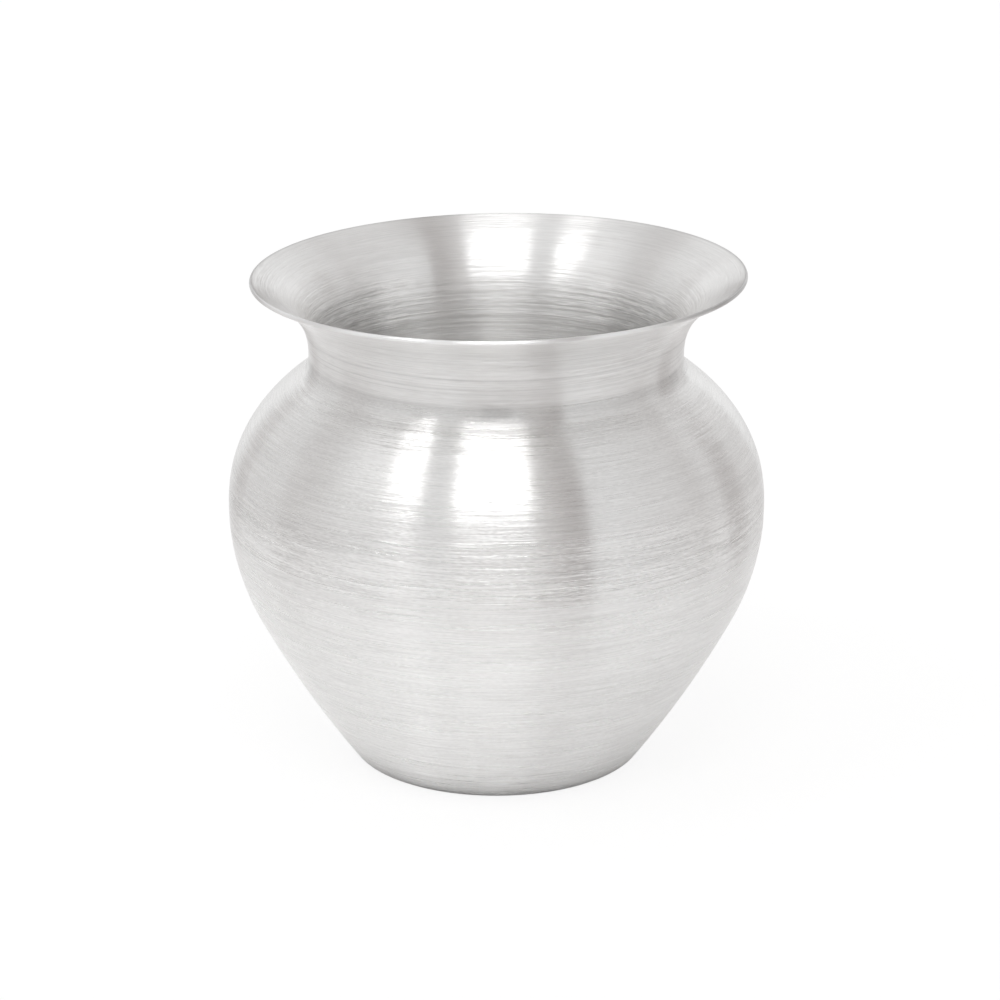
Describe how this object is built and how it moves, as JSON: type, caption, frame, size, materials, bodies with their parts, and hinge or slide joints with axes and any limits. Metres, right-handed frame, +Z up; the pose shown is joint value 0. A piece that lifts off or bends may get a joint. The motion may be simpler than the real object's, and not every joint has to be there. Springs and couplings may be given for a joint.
{
  "type": "lota",
  "caption": "Round-bellied metal water pot with a flat base, a tight waisted neck and a wide flared mouth, built from lapped spun shells.",
  "frame": {"origin": "middle of the flat base, on the surface that the pot stands on", "axes": "+Z up along the pot's axis of revolution"},
  "size_m": [0.12, 0.12, 0.1111],
  "materials": {
    "bowl_steel": "brushed around the pot",
    "shoulder_steel": "brushed around the pot",
    "mouth_steel": "brushed around the pot",
    "belly_braze": "dull, as brazed",
    "neck_braze": "dull, as brazed"
  },
  "bodies": {
    "root": {"lower_bowl": "bowl_steel", "shoulder_shell": "shoulder_steel", "mouth_collar": "mouth_steel", "belly_braze_ring": "belly_braze", "neck_braze_ring": "neck_braze"}
  },
  "joints": []
}
